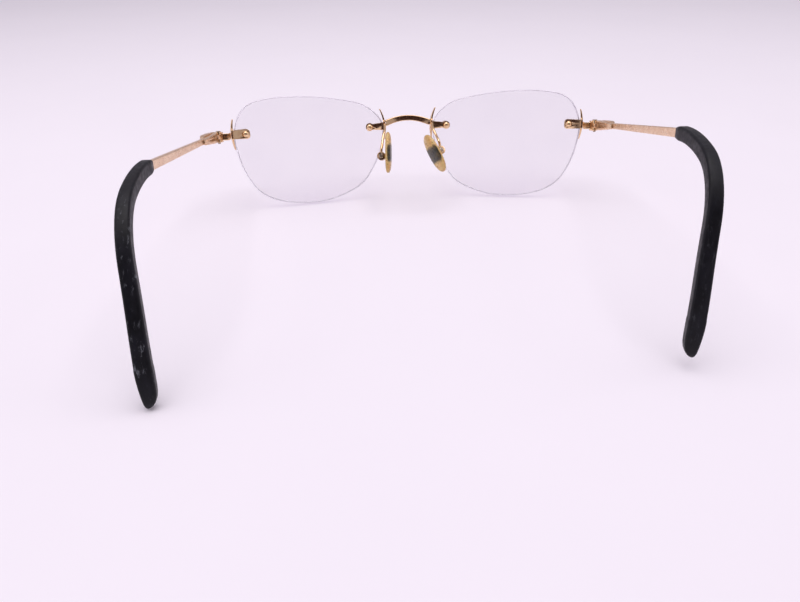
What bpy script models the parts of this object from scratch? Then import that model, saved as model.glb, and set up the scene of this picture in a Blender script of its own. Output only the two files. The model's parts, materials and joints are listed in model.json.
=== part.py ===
"""Rimless eyeglasses standing open on a table, built as an assembly of separate pieces.

Lengths inside the functions are millimetres and are turned into metres when each mesh is made.
+Z is up, the front of the glasses faces -Y and the temples run towards +Y.
Sides are the wearer's: the left side is +X. Shapes are drawn for the left side and mirrored.
"""

import math

import bmesh
import bpy
import numpy as np

MM = 0.001

# Whole frame
RAKE_DEG = 16.7          # the front leans, its top further forward than its foot
LENS_CENTRE_Z = 18.2
LENS_CENTRE_X = 34.8
CENTRE_SHIFT = np.array([-1.192, -53.41, 0.0])  # puts the middle of the footprint at the origin

# Lenses
WRAP_DEG = 7.8           # each lens turns back towards the temple
LENS_THICK = 2.0
LENS_BASE_RADIUS = 150.0
LENS_BOW = 1.6           # how far the middle of the lens stands ahead of its rim
LENS_OUTLINE = [
    (25.6, 0.5), (25.9, 8.5), (21.6, 16.0), (12.5, 18.5), (-1.0, 18.2), (-12.5, 16.4),
    (-20.5, 13.8), (-25.9, 8.0), (-25.4, 0.0), (-22.0, -7.5), (-16.5, -13.8), (-6.5, -17.8),
    (3.0, -18.5), (12.5, -17.0), (19.3, -13.3), (23.4, -7.0),
]
TEMPORAL_SCREW = (22.3, 7.2)
NASAL_SCREW = (-21.5, 6.4)

# Straps, screws, nuts and bushings
EAR_GAP = 0.15
EAR_THICK = 0.65
SHOE_THICK = 0.7
SHOE_DEEP = 1.9             # half the shoe's depth where the ears leave it
TEMPORAL_SHOE_REACH = 4.5   # screw axis to the middle of the shoe
NASAL_SHOE_REACH = 5.4
SCREW_RADIUS = 0.6
EAR_HOLE_RADIUS = 0.65
LENS_HOLE_RADIUS = 1.0
BUSHING_RADIUS = 0.95
NUT_RADIUS = 1.05

# Bridge
BRIDGE_RISE = 1.7
BRIDGE_FORWARD = 1.5
BRIDGE_TALL = 1.9
BRIDGE_DEEP = 0.9

# Nose pads
PAD_LENGTH = 13.9
PAD_WIDTH = 7.4
PAD_PIVOT = {"left": (10.2, -2.5, 8.6), "right": (10.2, -1.3, 8.6)}   # across, up and back
PAD_RAISE = {"left": 1.2, "right": 0.0}   # how far the pad sits above its pivot
PAD_SPLAY_DEG = {"left": 2.0, "right": 26.0}
PAD_TOE_DEG = {"left": 8.0, "right": 18.0}
PAD_LEAN_DEG = 8.0
PIVOT_TO_PAD = 2.5
BOX_RADIUS = 1.45
BOX_LENGTH = 2.5
WIRE_RADIUS = 0.45

# Hinges
HINGE_ACROSS = 65.7
HINGE_BACK = 5.95
HINGE_UP = 5.5
KNUCKLE_RADIUS = 1.05
STACK_HALF = 1.7
MIDDLE_HALF = 0.7
HINGE_SCREW_RADIUS = 0.5
HINGE_BORE_RADIUS = 0.55
LEAF_LENGTH = 17.5
LEAF_DROP = 0.15            # the leaf sits a little below the middle of the bar
HEAD_LENGTH = 13.5

# Temples
TEMPLE_START = (67.4, 5.8, 5.1)
TEMPLE_SPLAY_DEG = {"left": 1.8, "right": -3.5}
TEMPLE_RISE_DEG = {"left": 12.6, "right": 15.8}   # one side is bent a little higher than the other
GOLD_LENGTH = 68.6
BAR_WIDE = 1.1
BAR_TALL = 1.6
BAR_WIDER = 0.35           # how much the bar grows towards the sleeve
BAR_TALLER = 0.8
TEMPLE_LENGTH = 135.93
# Lengths along the temple, with the bend down or the sweep outwards there in degrees
BEND_POINTS = [(68.0, 0.0), (69.4, 2.0), (77.0, 14.0), (86.0, 23.0), (95.0, 54.0), (105.0, 84.0),
               (117.0, 80.0), (135.0, 90.0)]
SWEEP_POINTS = [(68.0, 0.0), (69.4, 2.2), (105.0, -10.2)]
BEND_SHARE = {"left": 0.95, "right": 1.05}
CORE_END = 118.0
RING_SPACING = 3.2
SLEEVE_WIDE = (2.7, 4.1)   # at the bar and near the tip
SLEEVE_TALL = (3.6, 3.1)

SIDES = {"left": 1.0, "right": -1.0}

GOLD = (0.83, 0.55, 0.36, 1.0)
DARK_GOLD = (0.55, 0.36, 0.24, 1.0)
CLEAR = (0.93, 0.92, 0.96, 1.0)
NYLON = (0.92, 0.92, 0.92, 1.0)
AMBER = (0.86, 0.55, 0.20, 1.0)
STEEL = (0.62, 0.58, 0.52, 1.0)
BLACK = (0.018, 0.018, 0.022, 1.0)


# ---------- frames ----------

def unit(v):
    v = np.asarray(v, float)
    return v / np.linalg.norm(v)


class Frame:
    """A local set of axes: call it with local millimetres to get world millimetres."""

    def __init__(self, origin, a, b, c):
        self.origin = np.asarray(origin, float)
        self.axes = np.array([a, b, c], float)

    def __call__(self, a, b, c):
        return self.origin + a * self.axes[0] + b * self.axes[1] + c * self.axes[2]


rake = math.radians(RAKE_DEG)
wrap = math.radians(WRAP_DEG)

# FRONT: across, up the raked front, back
FRONT = Frame(
    (0, 0, LENS_CENTRE_Z),
    (1, 0, 0),
    (0, -math.sin(rake), math.cos(rake)),
    (0, math.cos(rake), math.sin(rake)),
)

lens_out = unit((math.cos(wrap), math.sin(wrap), 0))
lens_back = unit((-math.cos(rake) * math.sin(wrap), math.cos(rake) * math.cos(wrap),
                  math.sin(rake) * math.cos(wrap)))
lens_up = np.cross(lens_out, lens_back)
LENS = Frame((LENS_CENTRE_X, 0, LENS_CENTRE_Z), lens_out, lens_up, lens_back)


def lens_depth(a, b):
    """Depth of the middle surface of the lens: it bows forward in the middle."""
    return (a * a + b * b) / (2 * LENS_BASE_RADIUS) - LENS_BOW


def screw_frame(spot, outward):
    """Axes at a lens screw: towards the shoe, up, and back along the screw."""
    a, b = spot
    centre = LENS(0, 0, LENS_BASE_RADIUS - LENS_BOW)
    origin = LENS(a, b, lens_depth(a, b))
    back = unit(centre - origin)
    out = outward * lens_out
    out = unit(out - back * (out @ back))
    up = np.cross(out, back) * outward
    return Frame(origin, out, up, back)


TEMPORAL = screw_frame(TEMPORAL_SCREW, 1.0)
NASAL = screw_frame(NASAL_SCREW, -1.0)


# ---------- mesh helpers ----------

def clear_scene():
    for obj in list(bpy.data.objects):
        bpy.data.objects.remove(obj, do_unlink=True)


def material(name, colour, metallic, roughness, transmission=0.0):
    mat = bpy.data.materials.new(name)
    mat.use_nodes = True
    bsdf = mat.node_tree.nodes["Principled BSDF"]
    bsdf.inputs["Base Color"].default_value = colour
    bsdf.inputs["Metallic"].default_value = metallic
    bsdf.inputs["Roughness"].default_value = roughness
    bsdf.inputs["Transmission Weight"].default_value = transmission
    mat.diffuse_color = colour
    return mat


def make(name, verts, faces, side=1.0, look=None, pivot=None, parent=None, smooth=35.0):
    """Makes one closed mesh object. With a pivot, the object's origin sits on that point."""
    pts = np.array(verts, float) * (side, 1, 1) + CENTRE_SHIFT
    base = np.zeros(3)
    if pivot is not None:
        base = np.asarray(pivot, float) * (side, 1, 1) + CENTRE_SHIFT
    mesh = bpy.data.meshes.new(name)
    mesh.from_pydata([tuple((p - base) * MM) for p in pts], [], [tuple(f) for f in faces])
    bm = bmesh.new()
    bm.from_mesh(mesh)
    bmesh.ops.recalc_face_normals(bm, faces=bm.faces)
    bm.to_mesh(mesh)
    bm.free()
    for poly in mesh.polygons:
        poly.use_smooth = True
    mesh.set_sharp_from_angle(angle=math.radians(smooth))
    obj = bpy.data.objects.new(name, mesh)
    bpy.context.scene.collection.objects.link(obj)
    if parent is None:
        obj.location = base * MM
    else:
        obj.parent = parent
    if look is not None:
        colour, metallic, roughness, transmission = look
        mesh.materials.append(material(name + "_material", colour, metallic, roughness, transmission))
    return obj


def pivot_empty(name, point, side):
    empty = bpy.data.objects.new(name, None)
    empty.empty_display_size = 0.004
    empty.location = (np.asarray(point) * (side, 1, 1) + CENTRE_SHIFT) * MM
    bpy.context.scene.collection.objects.link(empty)
    return empty


def boolean(target, tool, operation):
    """Joins a tool to the target or cuts it out. The tool stays hidden from the render."""
    tool.hide_render = True
    tool.display_type = "WIRE"
    mod = target.modifiers.new(operation.lower() + "_" + tool.name, "BOOLEAN")
    mod.object = tool
    mod.operation = operation
    mod.solver = "EXACT"


def loft(rings):
    """Closed skin through rings that all have the same number of points."""
    count = len(rings[0])
    verts = [p for ring in rings for p in ring]
    faces = []
    for r in range(len(rings) - 1):
        for i in range(count):
            j = (i + 1) % count
            faces.append((r * count + i, r * count + j, (r + 1) * count + j, (r + 1) * count + i))
    faces.append(tuple(range(count)))
    last = (len(rings) - 1) * count
    faces.append(tuple(range(last, last + count)))
    return verts, faces


def lathe(frame, profile, segments, along="c"):
    """Turns (radius, height) points about the frame's third or second axis into a closed skin."""
    rings = []
    for radius, height in profile:
        ring = []
        for i in range(segments):
            t = 2 * math.pi * i / segments
            p, q = radius * math.cos(t), radius * math.sin(t)
            ring.append(frame(p, q, height) if along == "c" else frame(p, height, q))
        rings.append(ring)
    return loft(rings)


def tube(frame, profile_outer, inner_radius, low, high, segments):
    """A plain tube: outer profile given low to high, straight bore all the way through."""
    rings = []
    for radius, height in profile_outer + [(inner_radius, high), (inner_radius, low)]:
        rings.append([frame(radius * math.cos(2 * math.pi * i / segments),
                            radius * math.sin(2 * math.pi * i / segments), height)
                      for i in range(segments)])
    verts = [p for ring in rings for p in ring]
    faces = []
    for r in range(len(rings)):
        s = (r + 1) % len(rings)
        for i in range(segments):
            j = (i + 1) % segments
            faces.append((r * segments + i, r * segments + j, s * segments + j, s * segments + i))
    return verts, faces


def prism(outline, place, low, high):
    """Extrudes a flat outline: place(a, b, height) gives the world point."""
    return loft([[place(a, b, low) for a, b in outline], [place(a, b, high) for a, b in outline]])


def box(place, a0, a1, b0, b1, c0, c1):
    outline = [(a0, b0), (a1, b0), (a1, b1), (a0, b1)]
    return prism(outline, place, c0, c1)


def arc(centre, radius, start_deg, end_deg, steps):
    pts = []
    for i in range(steps + 1):
        t = math.radians(start_deg + (end_deg - start_deg) * i / steps)
        pts.append((centre[0] + radius * math.cos(t), centre[1] + radius * math.sin(t)))
    return pts


def spline(points, per_span, closed):
    """Smooth curve through the points (Catmull-Rom)."""
    pts = [np.asarray(p, float) for p in points]
    n = len(pts)
    out = []
    for i in range(n if closed else n - 1):
        p1, p2 = pts[i], pts[(i + 1) % n]
        p0 = pts[i - 1] if closed or i > 0 else 2 * p1 - p2
        p3 = pts[(i + 2) % n] if closed or i + 2 < n else 2 * p2 - p1
        for k in range(per_span):
            t = k / per_span
            out.append(0.5 * (2 * p1 + (p2 - p0) * t + (2 * p0 - 5 * p1 + 4 * p2 - p3) * t ** 2
                              + (3 * p1 - p0 - 3 * p2 + p3) * t ** 3))
    if not closed:
        out.append(pts[-1])
    return out


def rounded_section(wide, tall, corner):
    """Rectangle with cut corners, eight points, centred on the axis."""
    w, h = wide / 2, tall / 2
    return [(w, -h + corner), (w, h - corner), (w - corner, h), (-w + corner, h),
            (-w, h - corner), (-w, -h + corner), (-w + corner, -h), (w - corner, -h)]


# ---------- lenses ----------

def lens(name, side):
    outline = spline(LENS_OUTLINE, 4, True)
    count = len(outline)
    shares = (0.25, 0.5, 0.75, 1.0)
    verts = []
    for offset in (-LENS_THICK / 2, LENS_THICK / 2):
        verts.append(LENS(0, 0, lens_depth(0, 0) + offset))
        for share in shares:
            for a, b in outline:
                a, b = a * share, b * share
                verts.append(LENS(a, b, lens_depth(a, b) + offset))
    half = 1 + len(shares) * count
    faces = []
    for start in (0, half):
        for i in range(count):
            faces.append((start, start + 1 + i, start + 1 + (i + 1) % count))
        for r in range(len(shares) - 1):
            low = start + 1 + r * count
            for i in range(count):
                j = (i + 1) % count
                faces.append((low + i, low + j, low + count + j, low + count + i))
    rim = 1 + (len(shares) - 1) * count
    for i in range(count):
        j = (i + 1) % count
        faces.append((rim + i, rim + j, half + rim + j, half + rim + i))
    obj = make(name, verts, faces, side, (CLEAR, 0.0, 0.02, 1.0))
    for spot, frame in (("temporal", TEMPORAL), ("nasal", NASAL)):
        hole = make(name + "_bore_" + spot, *lathe(frame, [(LENS_HOLE_RADIUS, -2.5),
                                                           (LENS_HOLE_RADIUS, 2.5)], 20), side)
        boolean(obj, hole, "DIFFERENCE")
    return obj


# ---------- straps, screws, nuts and bushings ----------

def shoe_reach(kind, up):
    """Distance from the screw axis to the shoe's middle line, at a height up the shoe."""
    if kind == "temporal":
        return TEMPORAL_SHOE_REACH - (0.030 if up > 0 else 0.022) * up * up
    return NASAL_SHOE_REACH - (0.040 if up > 0 else 0.015) * up * up


def strap(name, side, kind, frame):
    top, foot = (5.1, -5.1) if kind == "temporal" else (6.0, -4.6)
    stations = [(foot, 0.55, 0.5), (foot * 0.7, 0.9, 0.6), (-2.1, 1.15, SHOE_THICK),
                (-1.6, SHOE_DEEP, SHOE_THICK), (0.0, SHOE_DEEP, SHOE_THICK), (1.6, SHOE_DEEP, SHOE_THICK),
                (2.1, 1.15, SHOE_THICK), (top * 0.7, 0.9, 0.6), (top, 0.55, 0.5)]
    rings = []
    for up, deep, thick in stations:
        mid = shoe_reach(kind, up)
        rings.append([frame(mid - thick / 2, up, -deep), frame(mid + thick / 2, up, -deep),
                      frame(mid + thick / 2, up, deep), frame(mid - thick / 2, up, deep)])
    look = (GOLD, 1.0, 0.3, 0.0)
    obj = make(name, *loft(rings), side, look)
    reach = shoe_reach(kind, 0.0)
    if kind == "temporal":
        outline = ([(reach, -1.45), (reach, 1.45), (-0.4, 1.6)] + arc((-0.4, 0.5), 1.1, 90, 180, 4)[1:]
                   + arc((-0.4, -0.5), 1.1, 180, 270, 4))
    else:
        outline = ([(reach, -1.35), (reach, 1.35), (3.0, 1.1), (1.2, 0.95)] + arc((0, 0), 1.35, 50, 310, 12)
                   + [(1.2, -0.95), (3.0, -1.1)])
    inner = LENS_THICK / 2 + EAR_GAP
    for word, low, high in (("back", inner, inner + EAR_THICK), ("front", -inner - EAR_THICK, -inner)):
        ear = make(name + "_ear_" + word, *prism(outline, frame, low, high), side)
        boolean(obj, ear, "UNION")
    hole = make(name + "_hole", *lathe(frame, [(EAR_HOLE_RADIUS, -3.0), (EAR_HOLE_RADIUS, 3.0)], 16), side)
    boolean(obj, hole, "DIFFERENCE")
    return obj


def lens_fixings(side_name, side, kind, frame):
    face = LENS_THICK / 2 + EAR_GAP + EAR_THICK
    tag = kind + "_" + side_name
    profile = [(0.45, -face - 0.78), (0.8, -face - 0.6), (1.0, -face - 0.3), (1.0, -face - 0.05),
               (SCREW_RADIUS, -face - 0.05), (SCREW_RADIUS, face + 0.62), (0.45, face + 0.7)]
    make("lens_screw_" + tag, *lathe(frame, profile, 16), side, (GOLD, 1.0, 0.25, 0.0))
    low = face + 0.05
    profile = [(EAR_HOLE_RADIUS, low + 0.72), (EAR_HOLE_RADIUS, low), (0.95, low), (NUT_RADIUS, low + 0.1),
               (NUT_RADIUS, low + 0.4), (0.92, low + 0.78), (0.62, low + 1.05), (0.3, low + 1.15),
               (0.2, low + 0.95)]
    make("lens_nut_" + tag, *lathe(frame, profile, 20), side, (GOLD, 1.0, 0.2, 0.0))
    deep = LENS_THICK / 2 - 0.05
    make("lens_bushing_" + tag, *tube(frame, [(BUSHING_RADIUS, -deep), (BUSHING_RADIUS, deep)],
                                      EAR_HOLE_RADIUS, -deep, deep, 16), side, (NYLON, 0.0, 0.4, 0.0))


# ---------- bridge ----------

def bridge():
    end = NASAL(shoe_reach("nasal", 0.9) + SHOE_THICK / 2 + 0.12, 0.9, 0.1)
    up, back = FRONT.axes[1], FRONT.axes[2]
    across = end[0]
    end_up = (end - FRONT.origin) @ up
    end_back = (end - FRONT.origin) @ back
    rings = []
    steps = 16
    for i in range(steps + 1):
        s = -1 + 2 * i / steps
        x = across * s
        rise = end_up + BRIDGE_RISE * (1 - s * s)
        depth = end_back - BRIDGE_FORWARD * (1 - s * s)
        slope_up = -2 * BRIDGE_RISE * s / across
        slope_back = 2 * BRIDGE_FORWARD * s / across
        if i in (0, steps):
            slope_up = slope_back = 0.0
        ring = []
        for a, b in rounded_section(BRIDGE_DEEP, BRIDGE_TALL, 0.2):
            ring.append(FRONT(x - b * slope_up - a * slope_back, rise + b, depth + a))
        rings.append(ring)
    make("bridge_arch", *loft(rings), 1.0, (GOLD, 1.0, 0.2, 0.0))


# ---------- nose pads ----------

def pad_frame(side_name):
    """Axes of a nose pad, centred on its pivot: along the pivot, up the pad, towards the nose."""
    splay = math.radians(PAD_SPLAY_DEG[side_name])
    toe = math.radians(PAD_TOE_DEG[side_name])
    lean = math.radians(PAD_LEAN_DEG)
    long_axis = unit((-math.sin(splay), math.cos(splay) * math.cos(lean), -math.sin(lean)))
    nose = np.array([-math.cos(toe), 0, math.sin(toe)])
    nose = unit(nose - long_axis * (nose @ long_axis))
    width = np.cross(long_axis, nose)
    to_world = FRONT.axes.T
    return Frame(FRONT(*PAD_PIVOT[side_name]), to_world @ width, to_world @ long_axis, to_world @ nose)


def pad_box_frame(side_name):
    """Axes of the box that holds a pad: along the pivot, down the box, towards the nose."""
    toe = math.radians(PAD_TOE_DEG[side_name])
    width = pad_frame(side_name).axes[0]
    out = np.array([math.cos(toe), 0, 0]) - width * (math.cos(toe) * width[0])
    out = unit(out)
    return Frame(FRONT(*PAD_PIVOT[side_name]), width, np.cross(-out, width), -out)


def pad_outline(length, width, steps):
    pts = []
    for i in range(steps):
        t = 2 * math.pi * i / steps
        c, s = math.cos(t), math.sin(t)
        pts.append((width / 2 * math.copysign(abs(c) ** 0.9, c),
                    length / 2 * math.copysign(abs(s) ** 0.9, s)))
    return pts


def nose_pad(side_name, side):
    frame = pad_frame(side_name)
    box_frame = pad_box_frame(side_name)
    pivot = frame.origin
    empty = pivot_empty("pad_pivot_" + side_name, pivot, side)
    mid = PIVOT_TO_PAD
    raised = PAD_RAISE[side_name]
    # Pad: flat on the side of the box, domed towards the nose
    layers = [(0.80, -0.95), (0.93, -0.85), (1.0, -0.45), (0.98, 0.1), (0.86, 0.6), (0.62, 0.86), (0.3, 0.95)]
    rings = [[frame(a * k, b * k + raised, mid + n) for a, b in pad_outline(PAD_LENGTH, PAD_WIDTH, 28)]
             for k, n in layers]
    pad = make("nose_pad_" + side_name, *loft(rings), side, (AMBER, 0.0, 0.25, 0.3), pivot, empty)
    pocket = make("pad_pocket_" + side_name,
                  *prism(pad_outline(6.0, 3.6, 16), frame, mid - 1.5, mid - 0.40), side, None, pivot, empty)
    boolean(pad, pocket, "DIFFERENCE")
    # Core plate in the pocket, with the lug that reaches back to the pivot
    core = make("pad_core_" + side_name, *prism(pad_outline(5.8, 3.4, 16), frame, mid - 0.9, mid - 0.45),
                side, (DARK_GOLD, 1.0, 0.4, 0.0), pivot, empty)
    lug_shape = arc((0, 0), 0.62, 180, 360, 8) + [(0.62, mid - 0.7), (-0.62, mid - 0.7)]
    lug = make("pad_lug_" + side_name,
               *prism(lug_shape, lambda a, b, c: frame(c, a, b), -0.42, 0.42), side, None, pivot, empty)
    boolean(core, lug, "UNION")
    eye = make("pad_lug_eye_" + side_name,
               *prism(arc((0, 0), 0.43, 0, 337.5, 15), lambda a, b, c: frame(c, a, b), -1, 1), side, None,
               pivot, empty)
    boolean(core, eye, "DIFFERENCE")
    # Box: a short round clevis, open towards the pad
    half = BOX_LENGTH / 2
    turned = lambda a, b, c: box_frame(c, a, b)
    holder = make("pad_box_" + side_name, *prism(arc((0, 0), BOX_RADIUS, 0, 345, 23), turned, -half, half),
                  side, (GOLD, 1.0, 0.25, 0.0))
    slot = make("pad_box_slot_" + side_name, *box(box_frame, -0.5, 0.5, -2, 2, -0.75, 2), side)
    boolean(holder, slot, "DIFFERENCE")
    bore = make("pad_box_bore_" + side_name, *prism(arc((0, 0), 0.43, 0, 337.5, 15), turned, -3, 3), side)
    boolean(holder, bore, "DIFFERENCE")
    # Screw along the pivot, its head at the back
    profile = [(0.36, -half + 0.1), (0.36, half + 0.05), (0.75, half + 0.05), (0.75, half + 0.25),
               (0.5, half + 0.4)]
    spin = Frame(box_frame.origin, box_frame.axes[1], box_frame.axes[2], box_frame.axes[0])
    make("pad_screw_" + side_name, *lathe(spin, profile, 16), side, (STEEL, 1.0, 0.35, 0.0))
    # Arm: a bent wire from the back edge of the nasal shoe to the box
    start = NASAL(shoe_reach("nasal", 0.4), 0.4, SHOE_DEEP + 0.07)
    web = box_frame(0, -BOX_RADIUS - 0.08, 0)
    low = PAD_PIVOT[side_name][1]
    path = [start, start + 0.9 * FRONT.axes[2], FRONT(8.6, 5.9, 3.0), FRONT(9.3, 3.9, 5.2),
            FRONT(9.9, low + 3.4, 7.6), web - 0.9 * box_frame.axes[1], web]
    pts = spline(path, 3, False)
    rings = []
    for i, p in enumerate(pts):
        ahead = pts[min(i + 1, len(pts) - 1)]
        behind = pts[max(i - 1, 0)]
        t = unit(ahead - behind)
        if i == 0:
            t = FRONT.axes[2]
        if i == len(pts) - 1:
            t = box_frame.axes[1]
        side_way = unit(np.cross(t, (0.3, 0.5, 0.8)) if i == 0 else last - t * (last @ t))
        last = side_way
        other = np.cross(t, side_way)
        rings.append([p + WIRE_RADIUS * (math.cos(k * math.pi / 4) * side_way
                                         + math.sin(k * math.pi / 4) * other) for k in range(8)])
    make("pad_arm_" + side_name, *loft(rings), side, (GOLD, 1.0, 0.25, 0.0), smooth=60)


# ---------- endpieces and hinges ----------

def hinge_place(across, up, back):
    """Hinge axes: across from the axis, up along it, back from it."""
    return FRONT(HINGE_ACROSS + across, HINGE_UP + up, HINGE_BACK + back)


def knuckle_outline(reach):
    """Barrel seen along the hinge axis (across, back) with a straight web reaching to the front."""
    r = KNUCKLE_RADIUS
    return [(-r, -reach), (r, -reach)] + arc((0, 0), r, 0, 180, 10)


def endpiece(side_name, side):
    name = "endpiece_" + side_name
    look = (GOLD, 1.0, 0.25, 0.0)
    reach = shoe_reach("temporal", 0) + SHOE_THICK / 2 + 0.1
    low, high = -KNUCKLE_RADIUS - 1.3, -KNUCKLE_RADIUS - 0.15
    rings = []
    first = []
    for up, back in ((-1.3, -0.6), (0.9, -0.6), (0.9, 0.6), (-1.3, 0.6)):
        first.append(TEMPORAL(reach, up, back))
    rings.append(first)
    for across in (-3.2, -1.0, 2.6):
        rings.append([hinge_place(across, up, back) for up, back in
                      ((-1.15, low), (1.15, low), (1.15, high), (-1.15, high))])
    obj = make(name, *loft(rings), side, look)
    plate_outline = [(-1.1, low - 0.02), (2.2, low - 0.02), (2.7, low + 0.4), (2.7, high + 0.02),
                     (-1.1, high + 0.02)]
    turned = lambda a, b, c: hinge_place(a, c, b)
    plate = make(name + "_plate", *prism(plate_outline, turned, -STACK_HALF, STACK_HALF), side)
    boolean(obj, plate, "UNION")
    gap = MIDDLE_HALF + 0.05
    for word, foot, top in (("lower", -STACK_HALF - 0.02, -gap), ("upper", gap, STACK_HALF + 0.02)):
        knuckle = make(name + "_" + word, *prism(knuckle_outline(KNUCKLE_RADIUS + 0.6), turned, foot, top),
                       side)
        boolean(obj, knuckle, "UNION")
    bore = make(name + "_bore", *prism(arc((0, 0), HINGE_BORE_RADIUS, 0, 337.5, 15), turned, -3, 3), side)
    boolean(obj, bore, "DIFFERENCE")
    spin = Frame(hinge_place(0, 0, 0), FRONT.axes[0], FRONT.axes[2], FRONT.axes[1])
    top = STACK_HALF + 0.07
    profile = [(0.35, -top - 0.45), (HINGE_SCREW_RADIUS, -top - 0.3), (HINGE_SCREW_RADIUS, top), (0.85, top),
               (0.85, top + 0.2), (0.6, top + 0.32)]
    make("hinge_screw_" + side_name, *lathe(spin, profile, 16), side, (STEEL, 1.0, 0.3, 0.0))


# ---------- temples ----------

def temple_axes(side_name, u):
    """Direction, up and medial axes of the temple at a length u from its start."""
    bend = BEND_SHARE[side_name] * np.interp(u, *zip(*BEND_POINTS))
    pitch = math.radians(bend - TEMPLE_RISE_DEG[side_name])
    yaw = math.radians(TEMPLE_SPLAY_DEG[side_name] + np.interp(u, *zip(*SWEEP_POINTS)))
    along = np.array([math.sin(yaw) * math.cos(pitch), math.cos(yaw) * math.cos(pitch), -math.sin(pitch)])
    up = np.array([math.sin(yaw) * math.sin(pitch), math.cos(yaw) * math.sin(pitch), math.cos(pitch)])
    medial = np.array([-math.cos(yaw), math.sin(yaw), 0.0])
    return along, up, medial


def temple_frame(side_name, u):
    """Axes at a length u: medial, up, along."""
    point = FRONT(*TEMPLE_START)
    steps = max(int(u / 0.5), 1)
    for i in range(steps):
        point = point + temple_axes(side_name, u * (i + 0.5) / steps)[0] * u / steps
    along, up, medial = temple_axes(side_name, u)
    return Frame(point, medial, up, along)


def section_ring(side_name, u, wide, tall, corner, shift=0.0):
    frame = temple_frame(side_name, u)
    return [frame(a + shift, b, 0) for a, b in rounded_section(wide, tall, corner)]


def bend_stations(first, last):
    """Lengths at which the sleeve and its core get a ring."""
    return list(np.linspace(first, last, max(int((last - first) / RING_SPACING), 2)))


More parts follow.
